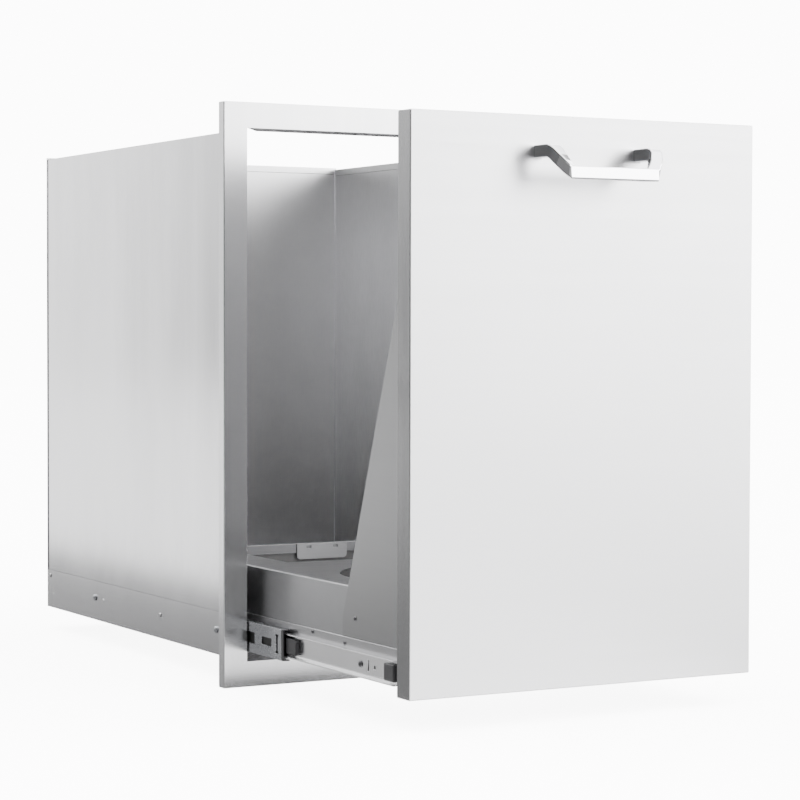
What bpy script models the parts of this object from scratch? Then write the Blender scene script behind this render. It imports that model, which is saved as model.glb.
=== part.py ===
"""Built-in roll-out waste drawer: a folded stainless face frame and liner fixed in a cabinet cut-out,
with an inset drawer front and a perforated tray that roll out on a pair of ball-bearing slides.

Metres, +Z up, +Y into the cabinet. The origin is the middle of the seating face on the back of the frame's
bottom rail. The drawer is modelled partly open, so every moving piece is placed from its closed position
and its travel.
"""

import math

import bmesh
import bpy
from mathutils import Vector

MM = 0.001
GAP = 0.3 * MM  # left between pieces that touch

# Face frame
FRAME_WIDTH = 508 * MM
FRAME_HEIGHT = 685.8 * MM
FRAME_DEPTH = 15 * MM
RAIL = 30 * MM
LIP = 12 * MM
POCKET = 44 * MM  # depth of the returns round the opening, from the front face
TOP_MITRE = 33 * MM  # how far the top rail's return is cut back at each end, over its depth
BOTTOM_MITRE = 3 * MM
SHEET = 1.2 * MM

# Liner
LINER_SIDE = 226.8 * MM  # outside of a side panel, from the middle
LINER_SHEET = 1.0 * MM
LINER_DEPTH = 640 * MM  # from the frame's front face
LINER_TOP = 654.4 * MM  # above the frame's bottom edge, as are the other heights here
LINER_FLOOR = 29.4 * MM
BACK_RISE = 2.2 * MM
HEM = 9 * MM
BAND_TOP = 81.7 * MM
SCREW_HOLE = 2.8 * MM  # radius
RIVET_HOLE = 1.9 * MM  # radius
SCREW_DEPTHS = (76.5 * MM, 461.3 * MM)  # of the screws through a liner side into its slide
LINER_RIVETS = (("middle", 244.3 * MM, 59.1 * MM), ("rear", 627 * MM, 73.8 * MM))  # depth and height

# Slides
SLIDE_LENGTH = 508 * MM
SLIDE_HEIGHT = 59.5 * MM  # of the slides' centre line
SLIDE_OUTSIDE = 225.5 * MM  # of the cabinet member, from the middle
SLIDE_SHEET = 1.2 * MM
MIDDLE_ACROSS = (2.9 * MM, 11.6 * MM)  # in from the cabinet member's outside
MIDDLE_HALF_HEIGHT = 18 * MM
CABINET_MEMBER_FRONT = 46 * MM  # from the frame's front face, as are the other fronts here
MIDDLE_MEMBER_FRONT = 40.6 * MM
MIDDLE_MEMBER_LENGTH = 500 * MM
DRAWER_MEMBER_FRONT = 34.6 * MM
DRAWER_SCREWS = (("front", 83 * MM), ("rear", 330 * MM))  # behind the drawer member's front
DRAWER_SCREW_HOLE = 2.4 * MM  # radius
CAGE_FRONT = 175 * MM
CAGE_LENGTH = 234 * MM

# Drawer
PANEL_HALF_WIDTH = 220 * MM
PANEL_BOTTOM = 35.2 * MM
PANEL_TOP = 650.2 * MM
PANEL_THICKNESS = 27.4 * MM
TRAY_HALF_WIDTH = 211.0 * MM
TRAY_RIM = 141 * MM
DECK = 130 * MM
TRAY_SKIRT = 60 * MM
TRAY_REAR = 629 * MM
BAND_HALF_WIDTH = 212.5 * MM
BAND_BOTTOM = 46 * MM
BAND_SEAM = 84.6 * MM
BIN_HOLE_RADIUS = 120 * MM
BIN_HOLE_DEPTH = -65 * MM  # of its middle behind the frame's front face, in the modelled pose
NOTCH_HALF_WIDTH = 106 * MM
TRAY_RIM_WIDTH = 4 * MM

# Handle
POST_SPREAD = 64 * MM
POST_HEIGHT = 610.8 * MM

# Fasteners, in millimetres: head radius, head height, shank radius and shank length
SLIDE_SCREW = (4.2, 2.4, 2.5, 4.2)
LINER_RIVET = (2.9, 1.2, 1.6, 2.6)
DRAWER_SCREW = (3.8, 2.0, 2.0, 2.6)
HANDLE_SCREW = (4.4, 2.2, 2.0, 9.0)
TRAY_RIVET = (2.8, 1.1, 1.6, 3.2)

# Travel from closed to the modelled pose: of the middle members on the cabinet, and of the drawer on those
MIDDLE_TRAVEL = 127.6 * MM
DRAWER_TRAVEL = 254.0 * MM


def y_at(from_front):
    """Row Y of a distance behind the frame's front face."""
    return from_front - FRAME_DEPTH


def z_at(above_bottom):
    """Row Z of a height above the frame's bottom edge."""
    return above_bottom - LIP / 2


MIDDLE_OUT = -MIDDLE_TRAVEL
DRAWER_OUT = -(MIDDLE_TRAVEL + DRAWER_TRAVEL)
DRAWER_MEMBER_Y = y_at(DRAWER_MEMBER_FRONT) + DRAWER_OUT
SIDES = (("left", -1), ("right", 1))


def clear_scene():
    for old in list(bpy.data.objects):
        bpy.data.objects.remove(old)


def material(name, colour, roughness, metallic):
    made = bpy.data.materials.new(name)
    made.use_nodes = True
    shader = made.node_tree.nodes["Principled BSDF"]
    shader.inputs["Base Color"].default_value = (*colour, 1)
    shader.inputs["Roughness"].default_value = roughness
    shader.inputs["Metallic"].default_value = metallic
    return made


def piece(name, mesh, finish):
    """An object made from a bmesh, whose faces are turned outwards."""
    bmesh.ops.recalc_face_normals(mesh, faces=mesh.faces)
    data = bpy.data.meshes.new(name)
    mesh.to_mesh(data)
    mesh.free()
    made = bpy.data.objects.new(name, data)
    bpy.context.scene.collection.objects.link(made)
    if finish:
        data.materials.append(finish)
    return made


def block(name, low, high, finish=None):
    """A box from its lowest to its highest corner, with its origin at its middle."""
    low, high = Vector(low), Vector(high)
    mesh = bmesh.new()
    bmesh.ops.create_cube(mesh, size=1)
    bmesh.ops.scale(mesh, vec=high - low, verts=mesh.verts)
    made = piece(name, mesh, finish)
    made.location = (low + high) / 2
    return made


def prism(name, outline, axis, start, end, finish=None):
    """A flat outline pushed along an axis: (Y, Z) points along X, (X, Z) along Y or (X, Y) along Z."""
    mesh = bmesh.new()
    place = {
        "X": lambda a, b: (start, a, b),
        "Y": lambda a, b: (a, start, b),
        "Z": lambda a, b: (a, b, start),
    }[axis]
    face = mesh.faces.new([mesh.verts.new(place(a, b)) for a, b in outline])
    made = bmesh.ops.extrude_face_region(mesh, geom=[face])["geom"]
    push = {"X": (1, 0, 0), "Y": (0, 1, 0), "Z": (0, 0, 1)}[axis]
    moved = [item for item in made if isinstance(item, bmesh.types.BMVert)]
    bmesh.ops.translate(mesh, vec=Vector(push) * (end - start), verts=moved)
    return piece(name, mesh, finish)


def rod(name, radius, start, end, finish=None, segments=16):
    """A round bar between two points."""
    start, end = Vector(start), Vector(end)
    mesh = bmesh.new()
    bmesh.ops.create_cone(
        mesh, cap_ends=True, segments=segments, radius1=radius, radius2=radius, depth=(end - start).length
    )
    turn = Vector((0, 0, 1)).rotation_difference(end - start).to_matrix()
    bmesh.ops.rotate(mesh, cent=(0, 0, 0), matrix=turn, verts=mesh.verts)
    made = piece(name, mesh, finish)
    made.location = (start + end) / 2
    return made


def combine(target, others, operation):
    """Adds a Boolean to the target for each of the others, which stay out of the render."""
    for other in others:
        other.hide_render = True
        other.display_type = "WIRE"
        step = target.modifiers.new(operation.title(), "BOOLEAN")
        step.operation = operation
        step.solver = "EXACT"
        step.object = other
    return target


def cut(target, *others):
    return combine(target, others, "DIFFERENCE")


def join(target, *others):
    return combine(target, others, "UNION")


def soften(target, width, segments=2, angle=30):
    """A Bevel that rounds the sharp folds and edges."""
    step = target.modifiers.new("Folds", "BEVEL")
    step.width = width
    step.segments = segments
    step.limit_method = "ANGLE"
    step.angle_limit = math.radians(angle)
    step.use_clamp_overlap = True
    return target


def smooth(target, angle=40):
    """Shades a round piece smooth, and keeps its real edges sharp."""
    target.data.shade_smooth()
    target.data.set_sharp_from_angle(angle=math.radians(angle))
    return target


def fastener(name, sizes, place, out, finish):
    """A domed head and its shank as one turned solid. The head's underside lies at place."""
    head_radius, head_height, shank_radius, shank_length = (size * MM for size in sizes)
    dome_steps = 3
    profile = [(0, -shank_length), (shank_radius, -shank_length), (shank_radius, 0), (head_radius, 0)]
    for step in range(1, dome_steps + 1):
        turn = math.radians(90 * step / dome_steps)
        profile.append((head_radius * math.cos(turn), head_height * math.sin(turn)))
    profile[-1] = (0, head_height)
    mesh = bmesh.new()
    points = [mesh.verts.new((radius, 0, height)) for radius, height in profile]
    edges = [mesh.edges.new(pair) for pair in zip(points, points[1:])]
    bmesh.ops.spin(
        mesh,
        geom=points + edges,
        cent=(0, 0, 0),
        axis=(0, 0, 1),
        angle=math.tau,
        steps=12,
        use_merge=True,
        use_duplicate=False,
    )
    bmesh.ops.remove_doubles(mesh, verts=mesh.verts, dist=1e-6)
    turn = Vector((0, 0, 1)).rotation_difference(Vector(out)).to_matrix()
    bmesh.ops.rotate(mesh, cent=(0, 0, 0), matrix=turn, verts=mesh.verts)
    made = piece(name, mesh, finish)
    made.location = place
    return smooth(made)


def through_hole(side, near, far, y, z, radius):
    """A cutter across the sheets of one side, from one distance off the middle to another."""
    return rod("hole", radius, (side * near, y, z), (side * far, y, z), segments=12)


# Face frame -------------------------------------------------------------------------------------


def make_face_frame(steel):
    """Flat front with folded returns: a shallow one with lips outside, a deep one round the opening."""
    half, inner = FRAME_WIDTH / 2, FRAME_WIDTH / 2 - RAIL
    front, seat, rear = y_at(0), y_at(FRAME_DEPTH), y_at(POCKET)
    bottom, top = z_at(0), z_at(FRAME_HEIGHT)
    low, high = bottom + RAIL, top - RAIL
    beyond = 5 * MM

    frame = block("face_frame", (-half, front, bottom), (half, seat, top), steel)
    soften(frame, 1.0 * MM)
    cut(
        frame,
        block(
            "frame_hollow",
            (-half + SHEET, front + SHEET, bottom + SHEET),
            (half - SHEET, seat + beyond, top - SHEET),
        ),
    )
    returns = (-inner - SHEET, front + SHEET / 2, low - SHEET), (inner + SHEET, rear, high + SHEET)
    join(frame, block("returns", *returns))
    opening = block("opening", (-inner, front - beyond, low), (inner, rear + beyond, high))
    cut(frame, opening)
    # The lips stop short of the corners, where the folds meet.
    notch = 20 * MM
    lips = [
        block("lip", (-half + notch, seat - SHEET, bottom + SHEET / 2), (half - notch, seat, bottom + LIP)),
        block("lip", (-half + notch, seat - SHEET, top - LIP), (half - notch, seat, top - SHEET / 2)),
        block("lip", (-half + SHEET / 2, seat - SHEET, bottom + notch), (-half + LIP, seat, top - notch)),
        block("lip", (half - LIP, seat - SHEET, bottom + notch), (half - SHEET / 2, seat, top - notch)),
    ]
    join(frame, *lips)
    # The rails' returns are cut back towards their rear ends.
    for side in (-1, 1):
        for edge, mitre in ((high - 0.1 * MM, TOP_MITRE), (low - SHEET - beyond, BOTTOM_MITRE)):
            outline = [
                (side * (inner - 2 * MM), front + 3 * MM),
                (side * (inner - mitre), rear + MM),
                (side * (inner + SHEET + MM), rear + MM),
                (side * (inner + SHEET + MM), front + 3 * MM),
            ]
            cut(frame, prism("mitre", outline, "Z", edge, edge + SHEET + beyond + 0.1 * MM))
    return frame


# Liner ------------------------------------------------------------------------------------------


def make_base_pan(polished):
    """A tray under the liner. Its floor starts behind the frame's bottom return, its sides sooner."""
    front, rear = y_at(5 * MM), y_at(LINER_DEPTH)
    bottom, top = z_at(LINER_FLOOR), z_at(BAND_TOP)
    lap = LINER_SIDE + GAP
    outside = lap + LINER_SHEET
    low = (-outside, front + 11 * MM, bottom)
    pan = block("base_pan", low, (outside, rear - LINER_SHEET - GAP, top), polished)
    cut(pan, block("base_hollow", (-lap, front, bottom + LINER_SHEET), (lap, rear, top + MM)))
    front_high = (lap, y_at(POCKET) + GAP, bottom + 2 * MM)
    return cut(pan, block("base_front", (-lap, front, bottom - MM), front_high))


def make_back_panel(polished):
    half = LINER_SIDE + GAP + LINER_SHEET
    rear = y_at(LINER_DEPTH)
    top = z_at(LINER_TOP) + BACK_RISE
    back = block("back_panel", (-half, rear - LINER_SHEET, z_at(LINER_FLOOR)), (half, rear, top), polished)
    hem_half = LINER_SIDE - 4 * MM
    hem_low = (-hem_half, rear - 2 * LINER_SHEET, top - HEM)
    return join(back, block("back_hem", hem_low, (hem_half, rear - LINER_SHEET / 2, top)))


def make_side_panel(name, side, polished):
    inside = LINER_SIDE - LINER_SHEET
    rear, top = y_at(LINER_DEPTH), z_at(LINER_TOP)
    near, far = sorted((side * inside, side * LINER_SIDE))
    low = (near, y_at(5 * MM), z_at(LINER_FLOOR) + LINER_SHEET + GAP)
    panel = block(f"{name}_side_panel", low, (far, rear - LINER_SHEET - GAP, top), polished)
    near, far = sorted((side * (inside - LINER_SHEET), side * (inside + LINER_SHEET / 2)))
    hem = block("side_hem", (near, y_at(POCKET) + 2 * MM, top - HEM), (far, rear - 4 * MM, top))
    return join(panel, hem)


def make_liner(polished, zinc):
    """Two side panels, a back panel and a base pan whose sides lap over the outside of the side panels."""
    base = make_base_pan(polished)
    make_back_panel(polished)
    lap = LINER_SIDE + GAP
    outside = lap + LINER_SHEET
    through_pan = (lap - 0.1 * MM, outside + MM)
    through_panel = (LINER_SIDE - 2 * LINER_SHEET, outside + MM)
    slide_z = z_at(SLIDE_HEIGHT)
    for name, side in SIDES:
        panel = make_side_panel(name, side, polished)
        for place, depth in zip(("front", "rear"), SCREW_DEPTHS):
            cut(panel, through_hole(side, *through_panel, y_at(depth), slide_z, SCREW_HOLE))
            cut(base, through_hole(side, *through_pan, y_at(depth), slide_z, SCREW_HOLE))
            head_at = (side * (outside + GAP), y_at(depth), slide_z)
            fastener(f"{name}_slide_screw_{place}", SLIDE_SCREW, head_at, (side, 0, 0), zinc)
        for place, depth, height in LINER_RIVETS:
            cut(panel, through_hole(side, *through_panel, y_at(depth), z_at(height), RIVET_HOLE))
            cut(base, through_hole(side, *through_pan, y_at(depth), z_at(height), RIVET_HOLE))
            head_at = (side * (outside + GAP), y_at(depth), z_at(height))
            fastener(f"{name}_liner_rivet_{place}", LINER_RIVET, head_at, (side, 0, 0), polished)


# Slides -----------------------------------------------------------------------------------------


def slide_box(name, side, across, along, high, finish=None):
    """A block in a slide. across counts in from the slide's outside and high up from its centre line."""
    xs = sorted(side * (SLIDE_OUTSIDE - inward) for inward in across)
    z = z_at(SLIDE_HEIGHT)
    return block(name, (xs[0], along[0], z + high[0]), (xs[1], along[1], z + high[1]), finish)


def channel(name, side, across, along, half_height, finish, sheet=SLIDE_SHEET, open_inwards=True):
    """A C-shaped strip of a slide, with its web on one side and a flange along its top and bottom."""
    member = slide_box(name, side, across, along, (-half_height, half_height), finish)
    hollow = (across[0] + sheet, across[1] + MM) if open_inwards else (across[0] - MM, across[1] - sheet)
    room = half_height - sheet
    return cut(member, slide_box("channel", side, hollow, (along[0] - MM, along[1] + MM), (-room, room)))


def ball_cage(name, side, web, flange_height, ball_radius, ball_at, start, finish):
    """The strip that spaces the balls: a thin channel with balls in its top and bottom edges."""
    thick = 0.7 * MM
    across, along = (web, web + 6 * MM), (start, start + CAGE_LENGTH)
    cage = channel(name, side, across, along, flange_height + thick / 2, finish, sheet=thick)
    z = z_at(SLIDE_HEIGHT)
    count = 5
    balls = []
    for step in range(count):
        y = start + CAGE_LENGTH * (0.06 + 0.88 * step / (count - 1))
        for up in (-1, 1):
            mesh = bmesh.new()
            bmesh.ops.create_uvsphere(mesh, u_segments=8, v_segments=6, radius=ball_radius)
            ball = piece("ball", mesh, None)
            ball.location = (side * (SLIDE_OUTSIDE - ball_at), y, z + up * flange_height)
            balls.append(ball)
    return join(cage, *balls)


def make_cabinet_member(name, side, zinc):
    start = y_at(CABINET_MEMBER_FRONT)
    along = (start, start + SLIDE_LENGTH)
    member = channel(f"{name}_cabinet_slide_member", side, (0, 10 * MM), along, 22.75 * MM, zinc)
    through = (SLIDE_OUTSIDE - 3 * MM, SLIDE_OUTSIDE + MM)
    for depth in SCREW_DEPTHS:
        cut(member, through_hole(side, *through, y_at(depth), z_at(SLIDE_HEIGHT), SCREW_HOLE))
    return member


def make_middle_member(name, side, zinc):
    """Its web has a tall flared slot near the front, where the end cap clips in, and windows along it."""
    start = y_at(MIDDLE_MEMBER_FRONT) + MIDDLE_OUT
    along = (start, start + MIDDLE_MEMBER_LENGTH)
    member = channel(f"{name}_middle_slide_member", side, MIDDLE_ACROSS, along, MIDDLE_HALF_HEIGHT, zinc)
    web = (2 * MM, 4.4 * MM)
    flared_slot = ((9, 13.5, -10.5, 10.5), (7.5, 15, 8.5, 11), (7.5, 15, -11, -8.5))
    windows = ((25.5, 51.5, -4.5, 4.5), (70, 95, -6.5, 6.5), (430, 450, -4.5, 4.5))
    for near, far, low, high in flared_slot + windows:
        window = (start + near * MM, start + far * MM)
        cut(member, slide_box("window", side, web, window, (low * MM, high * MM)))
    return member


def make_drawer_member(name, side, bright, zinc):
    """The strip that carries the drawer, held to the tray's band by two screws."""
    start = DRAWER_MEMBER_Y
    along = (start, start + SLIDE_LENGTH)
    across = (5.6 * MM, 12.7 * MM)
    half_height = 13.5 * MM
    member_name = f"{name}_drawer_slide_member"
    member = channel(member_name, side, across, along, half_height, bright, open_inwards=False)
    web = (10.5 * MM, 13.5 * MM)
    for near, far, half in ((64.5, 67.5, 6), (49, 54, 2.2)):
        window = (start + near * MM, start + far * MM)
        cut(member, slide_box("window", side, web, window, (-half * MM, half * MM)))
    z = z_at(SLIDE_HEIGHT)
    through = (SLIDE_OUTSIDE - web[1], SLIDE_OUTSIDE - web[0])
    for place, behind in DRAWER_SCREWS:
        cut(member, through_hole(side, *through, start + behind, z, DRAWER_SCREW_HOLE))
        head_at = (side * (SLIDE_OUTSIDE - 11.5 * MM + GAP), start + behind, z)
        fastener(f"{name}_drawer_screw_{place}", DRAWER_SCREW, head_at, (side, 0, 0), zinc)
    return member


def make_slides(zinc, bright, black):
    """For each side: cabinet, middle and drawer members, with a ball cage between each two."""
    for name, side in SIDES:
        make_cabinet_member(name, side, zinc)
        make_middle_member(name, side, zinc)
        make_drawer_member(name, side, bright, zinc)
        outer_start = y_at(CAGE_FRONT) + MIDDLE_OUT / 2
        ball_cage(
            f"{name}_outer_ball_cage", side, 1.75 * MM, 19.775 * MM, 1.45 * MM, 6 * MM, outer_start, zinc
        )
        inner_start = y_at(CAGE_FRONT) + MIDDLE_OUT - DRAWER_TRAVEL / 2
        ball_cage(
            f"{name}_inner_ball_cage", side, 4.45 * MM, 15.15 * MM, 1.3 * MM, 8 * MM, inner_start, zinc
        )
        make_slide_plastics(name, side, black)


def make_slide_plastics(name, side, black):
    """The middle member's end cap, the drawer member's front bumper, and the release lever."""
    cap_front = y_at(MIDDLE_MEMBER_FRONT) + MIDDLE_OUT - 5.5 * MM
    along = (cap_front, cap_front + 5.2 * MM)
    wall = 1.6 * MM
    cap_name = f"{name}_middle_member_cap"
    cap = channel(cap_name, side, MIDDLE_ACROSS, along, MIDDLE_HALF_HEIGHT, black, sheet=wall)
    soften(cap, 0.4 * MM, 1)

    across = (5.9 * MM, 11.5 * MM - GAP)
    half = 9.5 * MM
    along = (DRAWER_MEMBER_Y + 0.5 * MM, DRAWER_MEMBER_Y + 22 * MM)
    bumper = slide_box(f"{name}_slide_bumper", side, across, along, (-half, half), black)
    soften(bumper, 1.0 * MM, 1)

    # The lever reaches from its pivot, which is its origin, to the end of the middle member.
    pivot_y = DRAWER_MEMBER_Y + 234 * MM
    hook = cap_front - 0.8 * MM - pivot_y
    lower_half = [(-5 * MM, -6 * MM), (-2 * MM, -9 * MM), (hook - MM, -9 * MM), (hook, -6 * MM)]
    outline = lower_half + [(y, -z) for y, z in reversed(lower_half)]
    half_thickness = (across[1] - across[0]) / 2
    lever = prism(f"{name}_release_lever", outline, "X", -half_thickness, half_thickness, black)
    lever.location = (side * (SLIDE_OUTSIDE - sum(across) / 2), pivot_y, z_at(SLIDE_HEIGHT))


# Drawer -----------------------------------------------------------------------------------------


def make_drawer_front(brushed, chrome, zinc):
    """A folded pan with a cover in its back, and a bow handle held by two screws from behind."""
    front = y_at(0) + DRAWER_OUT
    rear = front + PANEL_THICKNESS
    bottom, top = z_at(PANEL_BOTTOM), z_at(PANEL_TOP)
    half = PANEL_HALF_WIDTH
    inner = half - SHEET

    skin = block("drawer_front_skin", (-half, front, bottom), (half, rear, top), brushed)
    soften(skin, 1.2 * MM, 2)
    hollow_low = (-inner, front + SHEET, bottom + SHEET)
    cut(skin, block("skin_hollow", hollow_low, (inner, rear + MM, top - SHEET)))
    edge = SHEET + GAP
    cover_low = (-half + edge, rear - SHEET, bottom + edge)
    block("drawer_front_cover", cover_low, (half - edge, rear, top - edge), brushed)

    handle = make_handle(front - GAP, chrome)
    for name, side in SIDES:
        x, z = side * POST_SPREAD, z_at(POST_HEIGHT)
        ahead, behind = (x, front - MM, z), (x, front + SHEET + MM, z)
        cut(skin, rod("handle_hole", 2.6 * MM, ahead, behind, segments=12))
        ahead, behind = (x, front - 9 * MM, z), (x, front + MM, z)
        cut(handle, rod("post_bore", 2.4 * MM, ahead, behind, segments=12))
        head_at = (x, front + SHEET + GAP, z)
        fastener(f"{name}_handle_screw", HANDLE_SCREW, head_at, (0, 1, 0), zinc)


def section(middle, across, up, chamfer=0.3):
    """Eight points round a middle: a four-sided section with cut corners, from two half-width vectors."""
    inset = 1 - chamfer
    quarter = ((1, inset), (inset, 1), (-inset, 1), (-1, inset))
    turns = quarter + tuple((-a, -b) for a, b in quarter)
    return [middle + across * a + up * b for a, b in turns]


def make_handle(face, chrome):
    """Two posts stand straight out, then the arms drop and run in to a bar with a flat upright front."""
    # Each station, in millimetres from the left post's foot: its middle, and its half widths across and up.
    half_run = [
        ((0, 0, 0), (-7, 0, 0), (0, 0, 7)),
        ((0, -24, 0), (-7, 0, 0), (0, 0, 7)),
        ((0, -29, -0.6), (-7, 0, 0), (0, -2.0, 6.8)),
        ((0.8, -33.5, -3.2), (-6.9, -0.4, 0), (0, -4.0, 6.2)),
        ((4.5, -39, -11), (-6.4, -2.2, 0), (0, -4.2, 6.0)),
        ((10, -45, -20.5), (-5.6, -4.2, 0), (0, -2.4, 6.6)),
        ((13.5, -47.5, -24), (-5.1, -5.0, 0), (0, 0, 6.8)),
    ]
    foot = Vector((-POST_SPREAD, face, z_at(POST_HEIGHT)))
    rings = []
    for middle, across, up in half_run:
        rings.append(section(foot + Vector(middle) * MM, Vector(across) * MM, Vector(up) * MM))
    mirrored = Vector((-1, 1, 1))
    rings += [[point * mirrored for point in ring] for ring in reversed(rings)]

    mesh = bmesh.new()
    rings = [[mesh.verts.new(point) for point in ring] for ring in rings]
    count = len(rings[0])
    for ring, after in zip(rings, rings[1:]):
        for step in range(count):
            other = (step + 1) % count
            mesh.faces.new((ring[step], ring[other], after[other], after[step]))
    mesh.faces.new(rings[0])
    mesh.faces.new(rings[-1])
    return smooth(piece("handle", mesh, chrome))


def make_tray(brushed, zinc):
    """An upturned pan whose deck has a round bin hole and a rear notch, with its bracket and sides."""
    front, rear = y_at(PANEL_THICKNESS) + DRAWER_OUT + GAP, y_at(TRAY_REAR) + DRAWER_OUT
    half, rim, deck = TRAY_HALF_WIDTH, z_at(TRAY_RIM), z_at(DECK)
    skirt = z_at(TRAY_SKIRT)

    tray = block("tray", (-half, front, skirt), (half, rear, rim), brushed)
    soften(tray, 0.8 * MM, 1)
    under_half, recess_half = half - SHEET, half - TRAY_RIM_WIDTH
    under_low = (-under_half, front + SHEET, skirt - MM)
    recess_low = (-recess_half, front + TRAY_RIM_WIDTH, deck)
    cut(
        tray,
        block("tray_under", under_low, (under_half, rear - SHEET, deck - SHEET)),
        block("tray_recess", recess_low, (recess_half, rear - TRAY_RIM_WIDTH, rim + MM)),
    )
    below, above = deck - 5 * MM, deck + 3 * MM
    hole_y = y_at(BIN_HOLE_DEPTH)
    cut(tray, rod("bin_hole", BIN_HOLE_RADIUS, (0, hole_y, below), (0, hole_y, above), segments=48))
    notch_rear = rear - TRAY_RIM_WIDTH - GAP / 3
    notch_low = (-NOTCH_HALF_WIDTH, y_at(129 * MM), below)
    cut(tray, block("rear_notch", notch_low, (NOTCH_HALF_WIDTH, notch_rear, above)))

    make_rear_bracket(rear - TRAY_RIM_WIDTH - GAP, rim, brushed)
    for name, side in SIDES:
        make_tray_side(name, side, tray, front, rear, brushed, zinc)


def make_rear_bracket(face, top, brushed):
    """A plate with rounded lower corners and two oval holes, on the inside of the tray's rear wall."""
    half, corner = 36.5 * MM, 5 * MM
    bottom = top - 20.5 * MM
    outline = [(-half, top), (-half, bottom + corner)]
    corner_steps = 3
    for step in range(1, corner_steps + 1):
        turn = math.radians(90 * step / corner_steps)
        outline.append((-half + corner * (1 - math.cos(turn)), bottom + corner * (1 - math.sin(turn))))
    outline += [(-x, z) for x, z in reversed(outline)]
    bracket = prism("rear_bracket", outline, "Y", face - SHEET, face, brushed)
    for side in (-1, 1):
        x = side * 19.5 * MM
        low = (x - 3.5 * MM, face - 3 * MM, top - 6.5 * MM)
        cut(bracket, block("bracket_hole", low, (x + 3.5 * MM, face + MM, top - 3 * MM)))


def make_tray_side(name, side, tray, front, rear, brushed, zinc):
    """The band that the slide screws to and the gusset above it, each riveted through the tray's skirt."""
    seam = z_at(BAND_SEAM)
    xs = sorted((side * BAND_HALF_WIDTH, side * (BAND_HALF_WIDTH - SHEET)))
    band = block(f"{name}_tray_band", (xs[0], front, z_at(BAND_BOTTOM)), (xs[1], rear, seam), brushed)
    gusset = make_gusset(name, side, xs, front, seam, brushed)
    wall = (BAND_HALF_WIDTH - 5 * MM, BAND_HALF_WIDTH + MM)
    for _, behind in DRAWER_SCREWS:
        y = DRAWER_MEMBER_Y + behind
        cut(band, through_hole(side, *wall, y, z_at(SLIDE_HEIGHT), DRAWER_SCREW_HOLE))
    rivets = (
        (f"{name}_tray_rivet_front", band, -224 * MM, 77.3 * MM),
        (f"{name}_tray_rivet_rear", band, -147 * MM, 81 * MM),
        (f"{name}_gusset_rivet", gusset, -248 * MM, 107 * MM),
    )
    for rivet, plate, depth, height in rivets:
        y, z = y_at(depth), z_at(height)
        cut(plate, through_hole(side, *wall, y, z, RIVET_HOLE))
        cut(tray, through_hole(side, *wall, y, z, RIVET_HOLE))
        fastener(rivet, TRAY_RIVET, (side * (BAND_HALF_WIDTH + GAP), y, z), (side, 0, 0), zinc)


def make_gusset(name, side, xs, front, seam, brushed):
    """A tall triangular brace up the back of the drawer front, with a flange along its front edge."""
    base = seam + GAP
    foot_y, shoulder_z, top_z = y_at(-218.5 * MM), z_at(106 * MM), z_at(490 * MM)
    lean = (foot_y - front) / (top_z - shoulder_z)
    turn_z, rise = shoulder_z - 6 * MM, 8 * MM
    outline = [(front, base), (foot_y, base), (foot_y, turn_z)]
    for step in range(1, 4):
        back = lean * max(0, rise * step - 6 * MM) + 0.15 * MM * step
        outline.append((foot_y - back, turn_z + rise * step))
    tip_z = top_z - 3 * MM / lean
    outline += [(front + 3 * MM, tip_z), (front, tip_z)]
    gusset = prism(f"{name}_gusset", outline, "X", *xs, brushed)
    # The flange starts above the tray's rim.
    near, far = sorted((side * (BAND_HALF_WIDTH - SHEET / 2), side * (BAND_HALF_WIDTH - 20 * MM)))
    flange_low = (near, front, z_at(TRAY_RIM) + MM)
    return join(gusset, block("gusset_flange", flange_low, (far, front + SHEET, top_z - 12 * MM)))


def main():
    clear_scene()
    brushed = material("brushed_stainless", (0.62, 0.62, 0.63), 0.32, 1.0)
    polished = material("liner_stainless", (0.66, 0.66, 0.67), 0.22, 1.0)
    chrome = material("chrome", (0.78, 0.78, 0.8), 0.06, 1.0)
    zinc = material("zinc_plate", (0.52, 0.53, 0.55), 0.35, 1.0)
    bright = material("slide_steel", (0.62, 0.63, 0.65), 0.28, 1.0)
    black = material("black_plastic", (0.02, 0.02, 0.022), 0.45, 0.0)
    make_face_frame(brushed)
    make_liner(polished, zinc)
    make_slides(zinc, bright, black)
    make_drawer_front(brushed, chrome, zinc)
    make_tray(brushed, zinc)


main()
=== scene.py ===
import math

import bmesh
import bpy
from mathutils import Euler, Matrix, Vector


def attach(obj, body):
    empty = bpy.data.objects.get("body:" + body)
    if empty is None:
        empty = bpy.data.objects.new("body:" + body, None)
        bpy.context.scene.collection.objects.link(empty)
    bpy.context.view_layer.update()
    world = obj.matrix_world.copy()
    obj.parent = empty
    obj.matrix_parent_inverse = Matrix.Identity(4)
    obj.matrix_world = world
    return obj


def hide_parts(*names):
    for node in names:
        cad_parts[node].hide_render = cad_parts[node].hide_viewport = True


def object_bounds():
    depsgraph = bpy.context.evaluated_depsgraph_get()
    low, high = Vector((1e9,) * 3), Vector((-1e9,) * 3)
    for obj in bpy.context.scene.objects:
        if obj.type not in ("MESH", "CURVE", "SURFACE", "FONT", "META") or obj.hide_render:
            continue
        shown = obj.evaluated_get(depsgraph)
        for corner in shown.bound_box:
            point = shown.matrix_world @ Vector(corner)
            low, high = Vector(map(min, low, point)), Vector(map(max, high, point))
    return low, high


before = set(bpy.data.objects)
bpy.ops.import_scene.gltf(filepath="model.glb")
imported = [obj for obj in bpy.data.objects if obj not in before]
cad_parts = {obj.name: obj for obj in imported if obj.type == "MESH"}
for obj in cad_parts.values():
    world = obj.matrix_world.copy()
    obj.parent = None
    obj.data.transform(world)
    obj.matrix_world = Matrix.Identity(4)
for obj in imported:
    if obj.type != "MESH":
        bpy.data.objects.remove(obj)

cad_low, cad_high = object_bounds()


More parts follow.
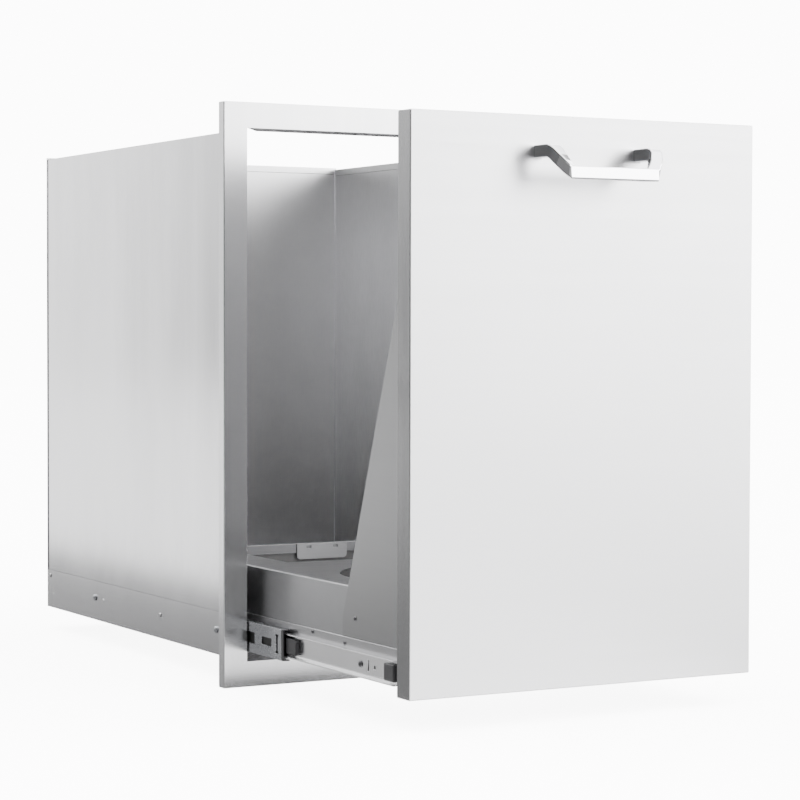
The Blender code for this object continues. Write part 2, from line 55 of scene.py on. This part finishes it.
# Face frame: one 1.2 mm stainless sheet, cut out and folded. A shallow return with seating lips runs round
# the outside, and a deep one forms the pocket for the drawer front. It is brushed along the stiles.


class Shade:
    """A socket in a material. Arithmetic on it adds Math nodes, and node() adds any other kind of node."""

    def __init__(self, tree, socket=None):
        self.tree = tree
        self.socket = socket

    def node(self, kind, settings=None, inputs=None, output=0):
        """Adds a node, with its settings first, and then the values or links of its sockets."""
        made = self.tree.nodes.new(kind)
        for name, value in (settings or {}).items():
            setattr(made, name, value)
        for name, value in (inputs or {}).items():
            if isinstance(value, Shade):
                self.tree.links.new(value.socket, made.inputs[name])
            else:
                made.inputs[name].default_value = value
        return Shade(self.tree, made.outputs[output])

    def maths(self, operation, first, second):
        return self.node("ShaderNodeMath", {"operation": operation}, {0: first, 1: second})

    def __add__(self, other):
        return self.maths("ADD", self, other)

    def __mul__(self, other):
        return self.maths("MULTIPLY", self, other)

    def __sub__(self, other):
        return self.maths("SUBTRACT", self, other)

    def __rsub__(self, other):
        return self.maths("SUBTRACT", other, self)

    __radd__ = __add__
    __rmul__ = __mul__

    def __abs__(self):
        return self.maths("ABSOLUTE", self, 0.0)

    def place(self):
        """The piece's own coordinates, in metres."""
        return self.node("ShaderNodeTexCoord", output="Object")

    def along(self, axis):
        """One of the piece's own coordinates, in metres."""
        return self.node("ShaderNodeSeparateXYZ", {}, {"Vector": self.place()}, output=axis)

    def noise(self, stretch, detail=3.0, roughness=0.5):
        """Noise from 0 to 1, with how fine it is along each axis."""
        scaled = self.node("ShaderNodeMapping", {}, {"Vector": self.place(), "Scale": stretch})
        settings = {"Vector": scaled, "Scale": 1.0, "Detail": detail, "Roughness": roughness}
        return self.node("ShaderNodeTexNoise", {}, settings)

    def between(self, value, low, high):
        """0 below low and 1 above high, with a smooth step between them."""
        limits = {"Value": value, "From Min": low, "From Max": high}
        return self.node("ShaderNodeMapRange", {"interpolation_type": "SMOOTHSTEP"}, limits)

    def blend(self, amount, first, second):
        """One colour that turns to another by an amount from 0 to 1, through the colour sockets of a mix."""
        ends = {0: amount, 6: (*first, 1), 7: (*second, 1)}
        return self.node("ShaderNodeMix", {"data_type": "RGBA"}, ends, output=2)

    def tint(self, colour, darker, amount):
        """A colour that turns to a darker shade of itself by an amount from 0 to 1."""
        return self.blend(amount, colour, tuple(part * darker for part in colour))

    def bump(self, height, strength, distance):
        values = {"Strength": strength, "Distance": distance, "Height": height}
        return self.node("ShaderNodeBump", {}, values)


def finish_of(name, colour, roughness, metallic=1.0, **constants):
    """A new material. Gives the material, its tree as a Shade, and its shader node."""
    made = bpy.data.materials.new(name)
    made.use_nodes = True
    shader = made.node_tree.nodes["Principled BSDF"]
    constants.update(base_color=(*colour, 1), roughness=roughness, metallic=metallic)
    for socket, value in constants.items():
        shader.inputs[socket.replace("_", " ").title()].default_value = value
    return made, Shade(made.node_tree), shader


def feed(shade, shader, **links):
    """Links what varies over the surface to sockets of the shader node."""
    for socket, value in links.items():
        shade.tree.links.new(value.socket, shader.inputs[socket.replace("_", " ").title()])


def brushed_steel(
    name, colour, roughness, grain, metallic=1.0, anisotropic=0.0, turn=0.0, darker=0.86, low=0.0
):
    """Brushed stainless. grain is how fine the noise is along each axis: small along the way it is brushed.
    darker is its darkest tone, and low is how much of that is added near the floor, a painted shade."""
    made, shade, shader = finish_of(
        name, colour, roughness, metallic, anisotropic=anisotropic, anisotropic_rotation=turn
    )
    fine = shade.noise(grain, detail=4.0, roughness=0.65)
    broad = shade.noise(tuple(part * 0.05 for part in grain), detail=2.0)
    handled = shade.noise((6, 6, 6), detail=3.0)
    amount = fine * 0.5 + broad * 0.3 + handled * 0.2
    # Painted shade: the colour darkens below 0.42 m, fully below 0.3 m, towards the floor.
    if low:
        amount = amount + (1 - shade.between(shade.along("Z"), 0.3, 0.42)) * (low / (1 - darker))
    feed(
        shade,
        shader,
        base_color=shade.tint(colour, darker, amount),
        roughness=fine * 0.14 + broad * 0.06 + handled * 0.06 + (roughness - 0.13),
        normal=shade.bump(fine, 0.1, 0.0002),
    )
    return made


def show(name, mesh, material, body, nodes, angle=40):
    """Makes the bmesh a shown piece that rides on a body and stands for some CAD nodes."""
    for edge in mesh.edges:
        edge.smooth = edge.is_manifold and edge.calc_face_angle(0) < math.radians(angle)
    data = bpy.data.meshes.new(name)
    mesh.to_mesh(data)
    mesh.free()
    data.materials.append(material)
    piece = bpy.data.objects.new(name, data)
    bpy.context.scene.collection.objects.link(piece)
    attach(piece, body)
    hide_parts(*nodes)
    return piece


def merged(node, whole=True):
    """A bmesh of a CAD node with its triangles joined up. Its flat faces are made whole, unless one has a
    large hole, which a single face can't have. A face under 40 square millimetres is part of a curve."""
    mesh = bmesh.new()
    mesh.from_mesh(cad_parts[node].data)
    bmesh.ops.remove_doubles(mesh, verts=mesh.verts, dist=2e-6)
    if whole:
        flat = {"angle_limit": math.radians(1), "verts": mesh.verts, "edges": mesh.edges}
        bmesh.ops.dissolve_limit(mesh, use_dissolve_boundaries=False, **flat)
        curve_face = 4e-5
        for face in mesh.faces:
            face.smooth = face.calc_area() < curve_face
    return mesh


def ease(mesh, width, segments=2, sharper=30):
    """Rounds the edges whose faces turn by more than an angle. The flat faces between them stay flat."""
    limit = math.radians(sharper)
    sharp = [edge for edge in mesh.edges if edge.is_manifold and edge.calc_face_angle(0) > limit]
    rounded = bmesh.ops.bevel(
        mesh,
        geom=sharp,
        offset=width,
        offset_type="OFFSET",
        segments=segments,
        profile=0.5,
        affect="EDGES",
        clamp_overlap=True,
        material=-1,
    )
    for face in rounded["faces"]:
        face.smooth = True
    return mesh


def eased(node, name, width, material, body, segments=2, angle=40, whole=True):
    """A CAD node's shape with its sharp edges rounded."""
    return show(name, ease(merged(node, whole), width, segments), material, body, [node], angle)


def refinished(piece, material, chosen):
    """Gives another finish to the faces that chosen(normal, middle) picks."""
    index = len(piece.data.materials)
    piece.data.materials.append(material)
    for face in piece.data.polygons:
        if chosen(face.normal, face.center):
            face.material_index = index


upright_grain = (1500, 1500, 9)
frame_steel = brushed_steel(
    "frame_steel", (0.66, 0.66, 0.67), 0.23, upright_grain, anisotropic=0.4, darker=0.93
)
eased("face_frame", "frame_flange", 0.0005, frame_steel, "cabinet")


# Liner: 1 mm mill-finish stainless sheet, softly mirrored and very slightly wavy from rolling. The two
# sides and the back are hemmed along the top. The base pan laps over their outside, and two small pips are
# pressed into each of its sides.


def liner_sheet(name, colour, roughness, pips=(), low_shade_depth=1.0):
    """Mill-finish sheet. Each pip is the middle of a raised dimple. The colour is darkened low down, a
    painted shade, and the last argument is how dark it gets.
    """
    made, shade, shader = finish_of(name, colour, roughness)
    waves = shade.noise((3.0, 3.4, 0.7), detail=2.0)
    streaks = shade.noise((26, 26, 1.6), detail=2.0)
    cloud = shade.noise((9, 9, 4), detail=3.0)
    fine = shade.noise((420, 420, 60), detail=3.0)
    height = waves + streaks * 0.03 + cloud * 0.04
    for middle in pips:
        ends = {0: shade.place(), 1: middle}
        apart = shade.node("ShaderNodeVectorMath", {"operation": "DISTANCE"}, ends, output="Value")
        height = height + (1 - shade.between(apart, 0.0012, 0.0032)) * 0.12
    # Painted shade: the colour darkens from 0.6 m down towards the floor.
    painted_low_shade = 1 - shade.between(shade.along("Z"), 0.05, 0.6)
    feed(
        shade,
        shader,
        base_color=shade.tint(colour, 0.9 * low_shade_depth, cloud * 0.3 + fine * 0.2 + painted_low_shade * 0.5),
        roughness=cloud * 0.08 + fine * 0.06 + streaks * 0.05 + (roughness - 0.09),
        normal=shade.bump(height, 0.5, 0.004),
    )
    return made


liner_steel = liner_sheet("liner_steel", (0.6, 0.6, 0.61), 0.17)
# Painted light and shade: each wall's inner face is a lit or shaded copy of the same sheet, with its own
# tone and its own depth of painted shade low down.
left_lining = liner_sheet("liner_inside_steel", (0.71, 0.71, 0.72), 0.31, low_shade_depth=0.6)
pan_side = 0.2281
pip_places = ((0.6015, 0.0415), (0.418, 0.0517))
pips = [(side * pan_side, y, z) for side in (-1, 1) for y, z in pip_places]
pan_steel = liner_sheet("base_pan_steel", (0.56, 0.56, 0.57), 0.2, pips)
back_lining = liner_sheet("back_inside_steel", (0.76, 0.76, 0.77), 0.31, low_shade_depth=0.85)
right_lining = liner_sheet("right_inside_steel", (0.58, 0.58, 0.59), 0.31, low_shade_depth=0.35)
# Gives each wall's inner face its copy with painted light and shade.
for sheet, inwards, lining in (
    ("left_side_panel", (1, 0, 0), left_lining),
    ("right_side_panel", (-1, 0, 0), right_lining),
    ("back_panel", (0, -1, 0), back_lining),
):
    wall = eased(sheet, f"{sheet}_sheet", 0.0003, liner_steel, "cabinet", segments=1)
    refinished(wall, lining, lambda normal, middle: normal.dot(Vector(inwards)) > 0.9)
base = eased("base_pan", "base_pan_sheet", 0.0002, pan_steel, "cabinet", segments=1)
# Painted shadow: the base pan's upturned top edges are made dark, standing for the shadow line along the
# seam where it laps the sides.
seam_shadow = liner_sheet("cut_edge_steel", (0.16, 0.16, 0.165), 0.5)
band_height = 0.07
refinished(base, seam_shadow, lambda normal, middle: normal.z > 0.3 and middle.z > band_height)


# Fasteners of the liner: zinc-plated pan-head screws, with a cross recess, hold the slides through the
# sheets, and blind rivets, each with a dimple where its stem broke off, hold the base pan to the sides.


def plated(name, colour, roughness, metallic=1.0, mottled=0.85, fineness=500):
    """A plated or moulded finish: mottled at a fine scale, and duller in patches."""
    made, shade, shader = finish_of(name, colour, roughness, metallic)
    mottle = shade.noise((fineness, fineness, fineness), detail=3.0)
    patch = shade.noise((40, 14, 40), detail=2.0)
    feed(
        shade,
        shader,
        base_color=shade.tint(colour, mottled, mottle * 0.6 + patch * 0.4),
        roughness=mottle * 0.1 + patch * 0.12 + (roughness - 0.11),
        normal=shade.bump(mottle, 0.06, 0.0002),
    )
    return made


def set_at(mesh, node, facing):
    """Turns a fastener, made upright at the origin, to face a way and puts its top on its CAD node's."""
    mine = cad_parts[node]
    corners = [mine.matrix_world @ vert.co for vert in mine.data.vertices]
    low = Vector(min(corner[axis] for corner in corners) for axis in range(3))
    high = Vector(max(corner[axis] for corner in corners) for axis in range(3))
    out = Vector(facing)
    reach = max(corner.dot(out) for corner in corners)
    middle = (low + high) / 2
    middle += out * (reach - middle.dot(out))
    turn = Vector((0, 0, 1)).rotation_difference(out).to_matrix().to_4x4()
    bmesh.ops.transform(mesh, matrix=Matrix.Translation(middle) @ turn, verts=mesh.verts)
    return mesh


def smoothed(mesh):
    """Turns the faces outwards and shades them smooth."""
    bmesh.ops.recalc_face_normals(mesh, faces=mesh.faces)
    for face in mesh.faces:
        face.smooth = True
    return mesh


def pan_head(radius, height, shank_radius, shank_length):
    """A screw, whose top is at the origin: a domed head with a cross recess, and a plain shank."""
    mesh = bmesh.new()
    cells = 11
    bmesh.ops.create_grid(mesh, x_segments=cells, y_segments=cells, size=radius)
    arm_width, arm_reach = 0.1, 0.6
    recess = []
    for face in mesh.faces:
        middle = face.calc_center_median() / radius
        if min(abs(middle.x), abs(middle.y)) < arm_width and middle.length < arm_reach:
            recess.append(face)
    for vert in mesh.verts:
        across, along = vert.co.x / radius, vert.co.y / radius
        vert.co.x *= math.sqrt(1 - along * along / 2)
        vert.co.y *= math.sqrt(1 - across * across / 2)
        vert.co.z = -0.62 * height * (vert.co.xy.length / radius) ** 2.6
    rim = [edge for edge in mesh.edges if edge.is_boundary]
    sunk = bmesh.ops.extrude_face_region(mesh, geom=recess)["geom"]
    bmesh.ops.delete(mesh, geom=recess, context="FACES")
    floor = [item for item in sunk if isinstance(item, bmesh.types.BMVert)]
    bmesh.ops.translate(mesh, vec=(0, 0, -0.55 * height), verts=floor)
    bmesh.ops.scale(mesh, vec=(0.8, 0.8, 1), verts=floor)
    skirt, underside = (0.38 * height, 1.0), (0.0, shank_radius / radius)
    shank, tip = (shank_length, 1.0), (0.0, 0.02)
    for drop, wide in (skirt, underside, shank, tip):
        ring = bmesh.ops.extrude_edge_only(mesh, edges=rim)["geom"]
        rim = [item for item in ring if isinstance(item, bmesh.types.BMEdge)]
        ends = [item for item in ring if isinstance(item, bmesh.types.BMVert)]
        bmesh.ops.translate(mesh, vec=(0, 0, -drop), verts=ends)
        bmesh.ops.scale(mesh, vec=(wide, wide, 1), verts=ends)
    bmesh.ops.holes_fill(mesh, edges=rim)
    return smoothed(mesh)


def turned(profile, steps=24):
    """A solid spun from (radius, height) points that start and end on its axis."""
    mesh = bmesh.new()
    points = [mesh.verts.new((radius, 0, height)) for radius, height in profile]
    edges = [mesh.edges.new(pair) for pair in zip(points, points[1:])]
    spin = {"cent": (0, 0, 0), "axis": (0, 0, 1), "angle": math.tau, "steps": steps}
    bmesh.ops.spin(mesh, geom=points + edges, use_merge=True, use_duplicate=False, **spin)
    bmesh.ops.remove_doubles(mesh, verts=mesh.verts, dist=1e-6)
    return smoothed(mesh)


def blind_rivet(radius, height, shank_radius, shank_length):
    """A rivet, whose top is at the origin: a low dome with a dimple, and its shank."""
    dome = [(0, -0.5), (0.18, -0.5), (0.25, -0.02), (0.45, -0.06), (0.7, -0.25), (0.9, -0.58), (1.0, -1.0)]
    profile = [(radius * out, height * up) for out, up in dome]
    tail = -height - shank_length
    profile += [(shank_radius, -height), (shank_radius, tail), (0, tail)]
    return turned(profile)


zinc = plated("zinc_plate", (0.46, 0.47, 0.49), 0.26)
rivet_steel = plated("rivet_steel", (0.5, 0.5, 0.51), 0.3)
for hand, side in (("left", -1), ("right", 1)):
    for place in ("front", "rear"):
        node = f"{hand}_slide_screw_{place}"
        head = set_at(pan_head(0.0042, 0.0024, 0.0025, 0.0042), node, (side, 0, 0))
        show(f"{node}_head", head, zinc, "cabinet", [node])
    for place in ("middle", "rear"):
        node = f"{hand}_liner_rivet_{place}"
        head = set_at(blind_rivet(0.0029, 0.0012, 0.0016, 0.0026), node, (side, 0, 0))
        show(f"{node}_head", head, rivet_steel, "cabinet", [node])


# Slides: rolled zinc-plated strip. The cabinet member is screwed to the liner, the middle member runs in it
# on balls, and a black moulded cap clips into its front end. The ball cages are thin plated strip.


cage_steel = plated("cage_steel", (0.05, 0.05, 0.048), 0.45, mottled=0.7, fineness=300)
black_plastic = plated("black_plastic", (0.018, 0.018, 0.02), 0.4, metallic=0.0, mottled=0.7, fineness=900)
for hand in ("left", "right"):
    middle_body = f"{hand}_middle_member"
    eased(f"{hand}_cabinet_slide_member", f"{hand}_outer_channel", 0.0005, zinc, "cabinet")
    eased(f"{hand}_middle_slide_member", f"{hand}_middle_channel", 0.0005, zinc, middle_body)
    cap = f"{hand}_middle_member_cap"
    eased(cap, f"{hand}_end_cap", 0.0003, black_plastic, middle_body)
    for cage in (f"{hand}_outer_ball_cage", f"{hand}_inner_ball_cage"):
        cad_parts[cage].data.materials.clear()
        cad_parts[cage].data.materials.append(cage_steel)


# Drawer members: the bright strips that carry the drawer, screwed to the tray's side bands. Each has a
# black moulded bumper in its front end, and a black lever that hooks the middle member and lets the drawer
# lift off.


dark_zinc = plated("dark_zinc", (0.13, 0.13, 0.135), 0.36)
slide_steel = plated("slide_steel", (0.88, 0.88, 0.89), 0.22, mottled=0.9, fineness=700)
for hand, side in (("left", -1), ("right", 1)):
    member, lever = f"{hand}_drawer_slide_member", f"{hand}_release_lever"
    eased(member, f"{hand}_inner_channel", 0.0006, slide_steel, "drawer")
    eased(f"{hand}_slide_bumper", f"{hand}_bumper_block", 0.0004, black_plastic, "drawer")
    eased(lever, f"{hand}_lever_arm", 0.0004, black_plastic, f"{hand}_lever")
    for place in ("front", "rear"):
        node = f"{hand}_drawer_screw_{place}"
        head = set_at(pan_head(0.0038, 0.002, 0.002, 0.0026), node, (side, 0, 0))
        show(f"{node}_head", head, dark_zinc, "drawer", [node])


# Tray: satin stainless sheet, brushed from side to side. Its side bands and tall gussets are riveted to the
# skirt, a punched bracket is held at the rear, and the deck has a round hole and a notch for bins.


crosswise_grain = (14, 1100, 1100)
lengthwise_grain = (1100, 14, 1100)
tray_steel = brushed_steel("tray_steel", (0.14, 0.14, 0.145), 0.34, crosswise_grain, darker=0.84)
bracket_steel = brushed_steel("bracket_steel", (0.21, 0.21, 0.215), 0.5, crosswise_grain, metallic=0.3)
# The next three are copies of the tray's own steel: a darker one under the deck, a painted shade, a bright
# one for the rim's top, a painted highlight, and a lighter one for the faces turned to the sides, a painted
# light.
shaded_under_steel = brushed_steel("tray_under_steel", (0.08, 0.08, 0.08), 0.6, crosswise_grain, metallic=0.3)
rim_highlight_steel = brushed_steel("tray_rim_steel", (0.55, 0.55, 0.56), 0.3, crosswise_grain)
lit_skirt_steel = brushed_steel("tray_skirt_steel", (0.35, 0.35, 0.36), 0.34, crosswise_grain, darker=0.84)
side_steel = brushed_steel("tray_side_steel", (0.4, 0.4, 0.41), 0.31, lengthwise_grain, darker=0.94)
brace_steel = brushed_steel("gusset_steel", (0.29, 0.29, 0.295), 0.31, lengthwise_grain, darker=0.94)
deck_z = 0.1228
rim_rise = 0.0105
skirt_front = -0.36
tray_pan = eased("tray", "tray_pan", 0.0004, tray_steel, "drawer", whole=False)
skirt_rear = max(vert.co.y for vert in tray_pan.data.vertices) - 0.0006


def is_shaded_underneath(normal, middle):
    return middle.z < deck_z and abs(normal.x) < 0.5 and skirt_front < middle.y < skirt_rear


# The pan is one sheet, given painted light and shade: lighter faces turned to the sides, darker faces under
# the deck, and a bright top to the rim.
refinished(tray_pan, lit_skirt_steel, lambda normal, middle: abs(normal.x) > 0.9)
refinished(tray_pan, shaded_under_steel, is_shaded_underneath)
refinished(tray_pan, rim_highlight_steel, lambda normal, middle: middle.z > deck_z + rim_rise)
eased("rear_bracket", "rear_bracket_plate", 0.0002, bracket_steel, "drawer", segments=1)
for hand, side in (("left", -1), ("right", 1)):
    eased(f"{hand}_tray_band", f"{hand}_band", 0.0003, side_steel, "drawer", segments=1)
    eased(f"{hand}_gusset", f"{hand}_brace", 0.0003, brace_steel, "drawer", segments=1)
    for node in (f"{hand}_tray_rivet_front", f"{hand}_tray_rivet_rear", f"{hand}_gusset_rivet"):
        head = set_at(blind_rivet(0.0028, 0.0011, 0.0016, 0.0032), node, (side, 0, 0))
        show(f"{node}_head", head, dark_zinc, "drawer", [node])


# Drawer front: a pan folded from pale, finely brushed stainless, its grain running across, with a flat
# cover of the same sheet closing its back.


level_grain = (9, 1500, 1500)
panel_steel = brushed_steel(
    "panel_steel", (0.63, 0.63, 0.64), 0.34, level_grain, anisotropic=0.5, turn=0.25, darker=0.92
)
# Painted shade: the pan's side faces get a darker copy of the panel's steel, darker still near the floor.
shaded_fold_steel = brushed_steel("panel_fold_steel", (0.68, 0.68, 0.69), 0.17, upright_grain, darker=0.4, low=0.5)
skin = "drawer_front_skin"
folded = eased(skin, "drawer_front_pan", 0.0003, panel_steel, "drawer", angle=60)
# The side faces take the painted shade.
refinished(folded, shaded_fold_steel, lambda normal, middle: abs(normal.x) > 0.7)
eased("drawer_front_cover", "drawer_front_back", 0.0003, panel_steel, "drawer", segments=1)


# Handle: a polished chrome casting. Two posts stand straight out, and each arm drops and runs in to a bar
# with a flat upright front. Two pan-head screws from inside the front hold it.


def polished(name, colour):
    """Polished plate, with a faint smear and fine hairlines."""
    made, shade, shader = finish_of(name, colour, 0.05)
    smear = shade.noise((60, 60, 60), detail=3.0)
    hairline = shade.noise((90, 1800, 1800), detail=2.0)
    feed(
        shade,
        shader,
        base_color=shade.tint(colour, 0.94, smear),
        roughness=smear * 0.05 + hairline * 0.04 + 0.02,
        normal=shade.bump(smear, 0.04, 0.002),
    )
    return made


def section_frame(middle, across, up):
    """The matrix that takes a unit square in X and Z to a section of the handle."""
    onward = across.cross(up).normalized()
    rows = [(across[axis], onward[axis], up[axis], middle[axis]) for axis in range(3)]
    return Matrix([*rows, (0, 0, 0, 1)])


bright_chrome = polished("chrome", (0.82, 0.82, 0.84))
# Painted shade: a darker copy of the chrome for the faces turned to the sides, standing for the dark they
# reflect.
shaded_side_chrome = polished("chrome_sides_shaded", (0.34, 0.34, 0.35))
post_foot = Vector((-0.064, cad_low.y + 0.0525, 0.6048))
millimetre = 0.001
# The middle of each section of the left half, from the foot of its post, and half its width and height.
handle_run = [
    ((0, 0, 0), (-7, 0, 0), (0, 0, 7)),
    ((0, -12, 0), (-7, 0, 0), (0, 0, 7)),
    ((0, -24, 0), (-7, 0, 0), (0, 0, 7)),
    ((0, -27.5, -0.3), (-7, 0, 0), (0, -1.0, 6.9)),
    ((0.3, -30.8, -1.4), (-7, -0.1, 0), (0, -2.8, 6.6)),
    ((1.1, -34, -3.9), (-6.9, -0.5, 0), (0, -4.0, 6.2)),
    ((4.5, -39, -11), (-6.4, -2.2, 0), (0, -4.2, 6.0)),
    ((8.4, -43.3, -17.6), (-5.9, -3.6, 0), (0, -3.2, 6.4)),
    ((11.6, -46.2, -22), (-5.4, -4.6, 0), (0, -1.4, 6.7)),
    ((13.5, -47.5, -24), (-5.1, -5.0, 0), (0, 0, 6.8)),
]
sections = []
for middle, across, up in handle_run:
    at = post_foot + Vector(middle) * millimetre
    sections.append((at, Vector(across) * millimetre, Vector(up) * millimetre))
flip = Vector((-1, 1, 1))
for middle, across, up in reversed(sections[:]):
    sections.append((middle * flip, across * flip, up))
handle = bmesh.new()
bmesh.ops.create_grid(handle, x_segments=1, y_segments=1, size=1)
upright = Matrix.Rotation(math.radians(90), 3, "X")
bmesh.ops.rotate(handle, cent=(0, 0, 0), matrix=upright, verts=handle.verts)
end = handle.faces[:]
placed = section_frame(*sections[0])
bmesh.ops.transform(handle, matrix=placed, verts=handle.verts)
for station in sections[1:]:
    grown = bmesh.ops.extrude_face_region(handle, geom=end)["geom"]
    end = [item for item in grown if isinstance(item, bmesh.types.BMFace)]
    moved = [item for item in grown if isinstance(item, bmesh.types.BMVert)]
    step = section_frame(*station) @ placed.inverted()
    bmesh.ops.transform(handle, matrix=step, verts=moved)
    placed = section_frame(*station)
ease(smoothed(handle), 0.002, segments=4, sharper=50)
bow = show("bow_handle", handle, bright_chrome, "drawer", ["handle"], angle=50)
bow.modifiers.new("flat faces", "WEIGHTED_NORMAL").keep_sharp = True
# The side faces take the painted shade.
refinished(bow, shaded_side_chrome, lambda normal, middle: abs(normal.x) > 0.75)
for hand in ("left", "right"):
    node = f"{hand}_handle_screw"
    head = set_at(pan_head(0.0044, 0.0022, 0.002, 0.009), node, (0, 1, 0))
    show(f"{node}_head", head, zinc, "drawer", [node])


# Studio: a floor that the camera sees plain and pale, under a soft surround, brightest overhead, to the
# front right and behind to the left, and a camera to the front left of the unit at about its middle height.
# In reflections the floor is dark, a painted shadow of the unit, with glowing patches of painted light on
# it.


# For rays other than the camera's, the floor is dark, a painted shadow, and the camera sees it plain and
# pale.
floor_paint, floor_shade, floor_shader = finish_of("floor_paint", (0.12, 0.12, 0.12), 0.7, metallic=0.0)
white = (1, 1, 1, 1)
pale_look = {
    "Base Color": (0.95, 0.95, 0.95, 1),
    "Roughness": 0.9,
    "Emission Color": white,
    "Emission Strength": 8.0,
}
pale = floor_shade.node("ShaderNodeBsdfPrincipled", {}, pale_look)
aside = abs(floor_shade.along("X"))
inwards = floor_shade.along("Y")
# Painted light: two patches of the floor glow for rays other than the camera's, one far to either side
# towards the back and one ahead of the unit.
behind = floor_shade.between(aside, 0.62, 0.7) * floor_shade.between(inwards - aside * 1.82, -0.6, -0.3)
ahead = floor_shade.between(0 - inwards, 0.05, 0.2) * (1 - floor_shade.between(aside, 0.2, 0.34))
feed(floor_shade, floor_shader, emission_color=floor_shade.blend(behind + ahead, (0, 0, 0), (1, 1, 1)))
floor_shader.inputs["Emission Strength"].default_value = 2.5
seen = floor_shade.node("ShaderNodeLightPath", output="Is Camera Ray")
dull = Shade(floor_shade.tree, floor_shader.outputs["BSDF"])
both = floor_shade.node("ShaderNodeMixShader", {}, {0: seen, 1: dull, 2: pale})
floor_shade.tree.links.new(both.socket, floor_paint.node_tree.nodes["Material Output"].inputs["Surface"])
floor_z = cad_low.z - 0.0005
reach = 12
floor_mesh = bmesh.new()
bmesh.ops.create_grid(floor_mesh, x_segments=1, y_segments=1, size=reach)
bmesh.ops.translate(floor_mesh, vec=(0, 0, floor_z), verts=floor_mesh.verts)
floor_data = bpy.data.meshes.new("floor")
floor_mesh.to_mesh(floor_data)
floor_mesh.free()
floor_data.materials.append(floor_paint)
floor = bpy.data.objects.new("floor", floor_data)
bpy.context.scene.collection.objects.link(floor)

world = bpy.data.worlds.new("surround")
bpy.context.scene.world = world
world.use_nodes = True
sky = Shade(world.node_tree)
aim = sky.node("ShaderNodeTexCoord", output="Generated")
glow = sky.node("ShaderNodeValue")
glow.socket.default_value = 0.15
# Each soft light: the way to it, how far round it is full and where it ends, in degrees, and its strength.
for towards, inner, outer, level in (
    ((0, 0, 1), 25, 68, 6.0),
    ((0.8, -0.6, 0.2), 5, 42, 14.0),
    ((-0.182, 0.983, 0.08), 12.5, 17.5, 3.0),
    ((-0.6, 0.78, 0.6), 15, 34, 1.6),
):
    ends = {0: aim, 1: Vector(towards).normalized()}
    facing = sky.node("ShaderNodeVectorMath", {"operation": "DOT_PRODUCT"}, ends, output="Value")
    glow = glow + level * sky.between(facing, math.cos(math.radians(outer)), math.cos(math.radians(inner)))
seen = sky.node("ShaderNodeLightPath", output="Is Camera Ray")
background = world.node_tree.nodes["Background"]
background.inputs["Color"].default_value = white
backdrop = 12.0
sky.tree.links.new((glow * (1 - seen) + backdrop * seen).socket, background.inputs["Strength"])

camera = bpy.data.objects.new("camera", bpy.data.cameras.new("camera"))
camera.data.lens = 109.8
camera.data.sensor_width = 36
camera.location = (-1.459, -2.598, 0.4263)
downwards, sideways, roll = math.radians(1.888), math.radians(29.14), math.radians(0.13)
aimed = Euler((math.pi / 2 - downwards, 0, -sideways)).to_matrix()
camera.rotation_euler = (aimed @ Matrix.Rotation(roll, 3, "Z")).to_euler()
bpy.context.scene.collection.objects.link(camera)
bpy.context.scene.camera = camera
